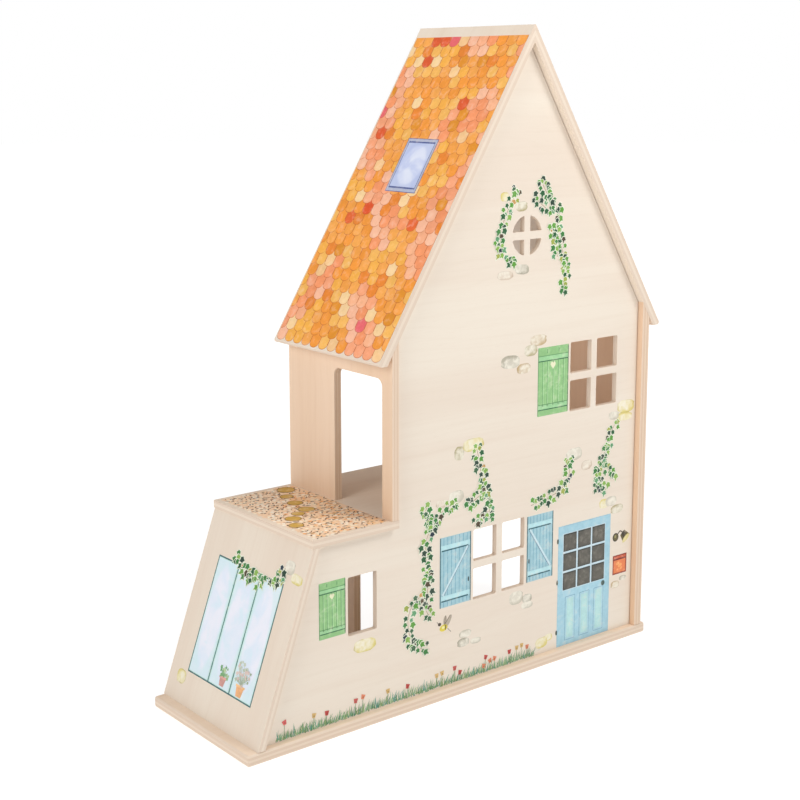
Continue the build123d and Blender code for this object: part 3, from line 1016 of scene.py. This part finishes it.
# ivy: leaves scattered along listed routes, with a thin stem
ivy = {
    "leafMin": 6.2,
    "leafMax": 9.8,
    "step": 3.8,    # one leaf for each of these along a route, left and right by turns
    "spread": 7.4,    # how far the leaves stand off the stem
    "pairs": 0.5,    # how often a leaf has another opposite it
    "tilt": 1.1,    # how far a leaf may turn from hanging tip down
    "stem": rgb(160, 140, 104),
    "halo": rgb(244, 247, 228),    # the light edge round each leaf
    "colours": [    # each with its share
        (rgb(26, 92, 48), 4), (rgb(28, 64, 46), 2.4), (rgb(52, 128, 56), 4), (rgb(92, 158, 54), 4),
        (rgb(136, 180, 78), 3), (rgb(160, 172, 72), 1.5), (rgb(78, 62, 38), 1.0),
        (rgb(98, 160, 112), 1.4), (rgb(26, 46, 64), 0.8), (rgb(206, 158, 94), 0.3),
    ],
}
ivyRoutes = {
    "roundWindowIvy": [
        [(75, 577), (63, 558), (54, 541), (47, 520), (56, 503), (74, 494)],
        [(112, 586), (121, 572), (136, 556), (143, 541), (138, 529), (144, 514), (150, 498), (155, 478),
         (148, 452)],
        [(101, 568), (117, 556), (131, 546)],
        [(132, 533), (134, 520), (139, 508), (140, 496)],
    ],
    "leftIvy": [
        [(-14, 230), (-32, 223), (-48, 209), (-57, 192), (-57, 172), (-54, 151), (-56, 133), (-74, 125),
         (-83, 108), (-81, 88), (-71, 71), (-52, 64)],
        [(-48, 209), (-60, 222), (-51, 238)],
        [(-55, 133), (-57, 112), (-50, 101)],
    ],
    "middleIvy": [
        [(16, 290), (21, 273), (24, 258), (30, 243), (35, 227), (38, 212), (36, 198)],
        [(32, 234), (14, 226), (5, 217)],
        [(36, 209), (23, 203), (15, 195)],
    ],
    "rightIvy": [
        [(166, 250), (167, 230), (155, 215), (131, 207), (104, 203)],
        [(248, 284), (238, 270), (233, 255), (223, 240), (217, 226), (216, 212), (209, 200)],
        [(223, 236), (239, 222), (249, 212)],
        [(218, 214), (230, 202), (233, 193)],
    ],
}
slopeIvyRoute = [[(-31, 177), (-19, 171), (-5, 166), (11, 163), (27, 162), (41, 163), (50, 170), (54, 179),
                  (60, 187)]]


def smoothRoute(points, steps=6):
    # a smooth line through the points, closer together
    ends = [points[0]] + points + [points[-1]]
    route = []
    for before, start, end, after in zip(ends, ends[1:], ends[2:], ends[3:]):
        for step in range(steps):
            t = step / steps
            route.append(tuple(
                0.5 * (2 * b + (c - a) * t + (2 * a - 5 * b + 4 * c - d) * t ** 2
                       + (3 * b - a - 3 * c + d) * t ** 3)
                for a, b, c, d in zip(before, start, end, after)))
    return route + [points[-1]]


def growIvy(name, routes, surface, seed, leafScale=1.0):
    dice = random.Random(seed)
    palette, shares = zip(*ivy["colours"])
    stamps = []
    hand = 1
    leaves = 0
    for points in routes:
        route = smoothRoute(points)
        walked = ivy["step"]
        for count, (start, end) in enumerate(zip(route, route[1:])):
            stamps.append(line(ivy["stem"], start, end, 0.6, apart(count, 2)))
            length = hypot(end[0] - start[0], end[1] - start[1])
            walked += length
            if walked < ivy["step"]:
                continue
            walked -= ivy["step"]
            side = (-(end[1] - start[1]) / length, (end[0] - start[0]) / length)
            hand = -hand
            hands = (hand, -hand) if dice.random() < ivy["pairs"] else (hand,)
            for each in hands:
                away = each * dice.uniform(0.05, 1.0) * ivy["spread"]
                at = (start[0] + side[0] * away, start[1] + side[1] * away)
                size = dice.uniform(ivy["leafMin"], ivy["leafMax"]) * leafScale
                turn = pi + dice.uniform(-ivy["tilt"], ivy["tilt"])
                level = 1 + apart(leaves, 29, 0.3)
                leaves += 1
                stamps.append(stamp(leaf, ivy["halo"], at, (size * 1.24, size * 1.3), turn, level - 0.15))
                stamps.append(stamp(leaf, dice.choices(palette, shares)[0], at, (size, size), turn, level))
    gather(name, stamps, surface, leafInk)


for index, (name, routes) in enumerate(ivyRoutes.items()):
    growIvy(name, routes, facadeFace, 40 + index)
print("ivy grown")

# meadow along the foot of the facade
meadow = {
    "left": -262.0, "right": 113.0, "foot": 14.0,
    "spacing": 0.66,
    "blade": (1.1, 5.5, 13.5),    # width, lowest and highest height
    "greens": [rgb(126, 172, 130), rgb(84, 140, 98), rgb(160, 196, 146), rgb(88, 154, 142),
               rgb(148, 172, 114)],
    "stalk": rgb(110, 148, 100),
    "petals": {"rose": rgb(224, 100, 96), "red": rgb(196, 66, 58), "orange": rgb(228, 136, 98),
               "ochre": rgb(220, 182, 112)},
    "flowers": [    # x, height and petals
        (-251, 33, "rose"), (-213, 30, "ochre"), (-196, 28, "red"), (-157, 31, "red"),
        (-147, 33, "orange"), (-112, 30, "ochre"), (-84, 28, "red"), (-41, 29, "ochre"),
        (-33, 30, "ochre"), (-14, 31, "red"), (-6, 24, "red"), (31, 22, "orange"), (34, 32, "red"),
        (41, 26, "orange"), (48, 27, "orange"), (72, 29, "red"), (84, 31, "ochre"), (92, 32, "ochre"),
        (101, 28, "orange")],
}


def paintMeadow():
    dice = random.Random(9)
    wide, shortest, tallest = meadow["blade"]
    foot = meadow["foot"]
    stamps = []
    x = meadow["left"]
    while x < meadow["right"]:
        tall = dice.uniform(shortest, tallest) * (0.75 if dice.random() < 0.4 else 1.0)
        stamps.append(stamp(blade, dice.choice(meadow["greens"]), (x, foot + dice.uniform(-0.4, 2.0)),
                            (wide * dice.uniform(0.7, 1.3), tall), dice.uniform(-0.5, 0.35),
                            apart(len(stamps), 17, 0.25)))
        x += meadow["spacing"] * dice.uniform(0.4, 1.7)
    for x, z, kind in meadow["flowers"]:
        petals = meadow["petals"][kind]
        stamps.append(line(meadow["stalk"], (x - 1.2, foot + 1), (x, z - 2), 0.5, 4.6))
        stamps.append(stamp(wedge, petals, (x, z), (5.8, 5.2), dice.uniform(-0.4, 0.4), 5.4))
        stamps.append(stamp(pebble, scaled(petals, 0.55), (x + 0.3, z - 0.6), (1.8, 2.2), 0.0, 6.2))
    gather("meadowPaint", stamps, facadeFace, leafInk)


paintMeadow()
print("meadow sown")

# greenhouse window on the sloped wall, with two potted plants behind the glass
greenhouse = {
    "edges": (-63.0, 64.0, 37.0, 171.0),    # left, right, bottom, top
    "bars": (-21.5, 21.0),
    "line": 1.6,
    "frame": rgb(50, 106, 110),
    "frameLight": rgb(204, 238, 232),
    "glass": rgb(226, 236, 250),
}
plants = [
    {"at": (4, 41), "pot": (12.5, 10.5), "paint": rgb(214, 158, 148), "crown": (17, 12), "leaves": 16,
     "greens": [rgb(150, 196, 140), rgb(120, 176, 120), rgb(184, 210, 160)]},
    {"at": (38, 40), "pot": (15, 12.5), "paint": rgb(246, 184, 130), "crown": (25, 24), "leaves": 38,
     "greens": [rgb(186, 200, 176), rgb(206, 214, 196), rgb(168, 188, 160), rgb(226, 204, 196)]},
]


def paintGreenhouse():
    window = greenhouse
    left, right, bottom, top = window["edges"]
    edge = window["line"]
    frames = layered(window["edges"], (window["frame"], 0, 0), (window["frameLight"], edge, 1))
    frames += [line(window["frame"], (x, bottom), (x, top), edge, 2) for x in window["bars"]]
    gather("greenhouseFrame", frames, slopeFace, paintInk)
    sides = (left, *window["bars"], right)
    margins = (edge + 0.9, edge + 0.9, edge + 1, edge + 1)
    panes = [inlay(window["glass"], (start, end, bottom, top), margins, 2)
             for start, end in zip(sides, sides[1:])]
    gather("greenhouseGlass", panes, slopeFace, greenhouseGlass)


def paintPlants():
    dice = random.Random(15)
    stamps = []
    for plant in plants:
        x, foot = plant["at"]
        wide, tall = plant["pot"]
        top = foot + tall
        stamps.append(stamp(wedge, plant["paint"], (x, foot + tall / 2), (wide, tall), 0.0, 3))
        rim = wide * 0.56
        stamps.append(block(scaled(plant["paint"], 1.25), x - rim, x + rim, top - 2.4, top, 4))
        for count in range(plant["leaves"]):
            place = (x + dice.uniform(-0.5, 0.5) * plant["crown"][0],
                     top + dice.uniform(0.0, 1.0) * plant["crown"][1])
            stamps.append(line(plant["greens"][0], (x, top), place, 0.4, 3.1 + apart(count, 5)))
            size = dice.uniform(3.0, 5.6)
            stamps.append(stamp(leaf, dice.choice(plant["greens"]), place, (size, size),
                                dice.uniform(-pi, pi), 5.2 + apart(count, 19, 0.3)))
    gather("pottedPlants", stamps, slopeFace, leafInk)


paintGreenhouse()
paintPlants()
growIvy("greenhouseIvy", slopeIvyRoute, slopeFace, 61, 1.15)
print("greenhouse window painted")

for blank in blanks:
    bpy.data.objects.remove(blank)

# studio: pale floor, white surroundings, three soft lights and the camera
studio = {
    "floorRadius": 14.0,
    "paper": (rgb(172, 171, 170), rgb(168, 167, 166)),
    "glowNear": 0.76, "glowFar": 0.92,    # keeps the floor as white as the wall behind it
    "glowStart": 0.6, "glowEnd": 2.2,    # where the glow begins to rise and where it is full
    "air": 0.32, "airTint": (1.0, 0.99, 0.98, 1.0),
    "lights": {    # place, target, size, power and tint
        "keyLight": ((0.7, -1.2, 1.8), (0.1, -0.1, 0.75), 0.9, 18.4, (1.0, 1.0, 0.99)),
        "sideLight": ((-2.4, -0.6, 1.5), (-0.1, 0.0, 0.25), 1.4, 26.0, (1.0, 0.99, 0.97)),
        "topLight": ((0.0, 0.2, 3.2), (0.0, 0.0, 0.0), 2.0, 22.0, (1.0, 1.0, 1.0)),
    },
    "yaw": 38.88, "pitch": 10.0, "lens": 66.07, "shift": -0.083,
    "eye": (-1.0668, -1.2946, 0.7045),
}


def studioFloor():
    bpy.ops.object.select_all(action="DESELECT")
    bpy.ops.mesh.primitive_circle_add(vertices=64, radius=studio["floorRadius"], fill_type="NGON")
    floor = bpy.context.object
    floor.name = "studioFloor"
    finish = Finish("floorPaper", 0.9)
    spot = finish.place()
    finish.set("Base Color", finish.mix(finish.noise(spot, 2.0, 2.0), *studio["paper"]))
    glow = finish.ease(finish.length(spot), studio["glowStart"], studio["glowEnd"])
    finish.set("Emission Color", finish.mix(glow, grey(studio["glowNear"]), grey(studio["glowFar"])))
    finish.set("Emission Strength", 1.0)
    coat(floor, finish.material)


studioFloor()

world = bpy.data.worlds.new("studioAir")
bpy.context.scene.world = world
world.use_nodes = True
air = world.node_tree
softAir = air.nodes["Background"]
softAir.inputs["Color"].default_value = studio["airTint"]
softAir.inputs["Strength"].default_value = studio["air"]
whiteWall = air.nodes.new("ShaderNodeBackground")    # what is seen past the edge of the floor
whiteWall.inputs["Color"].default_value = grey(1.0)
seen = air.nodes.new("ShaderNodeLightPath")
either = air.nodes.new("ShaderNodeMixShader")
for index, socket in enumerate((seen.outputs["Is Camera Ray"], softAir.outputs[0], whiteWall.outputs[0])):
    air.links.new(socket, either.inputs[index])
air.links.new(either.outputs[0], air.nodes["World Output"].inputs[0])

for name, (place, target, size, power, tint) in studio["lights"].items():
    light = bpy.data.lights.new(name, "AREA")
    light.shape = "DISK"
    light.size = size
    light.energy = power
    light.color = tint
    holder = bpy.data.objects.new(name, light)
    bpy.context.scene.collection.objects.link(holder)
    holder.location = place
    holder.rotation_euler = (Vector(target) - Vector(place)).to_track_quat("-Z", "Y").to_euler()

camera = bpy.data.objects.new("studioCamera", bpy.data.cameras.new("studioCamera"))
bpy.context.scene.collection.objects.link(camera)
camera.data.lens = studio["lens"]
camera.data.sensor_width = 36.0
camera.data.shift_y = studio["shift"]
camera.location = studio["eye"]
camera.rotation_euler = (radians(90 - studio["pitch"]), 0.0, radians(-studio["yaw"]))
bpy.context.scene.camera = camera
bpy.context.scene.view_settings.view_transform = "Standard"
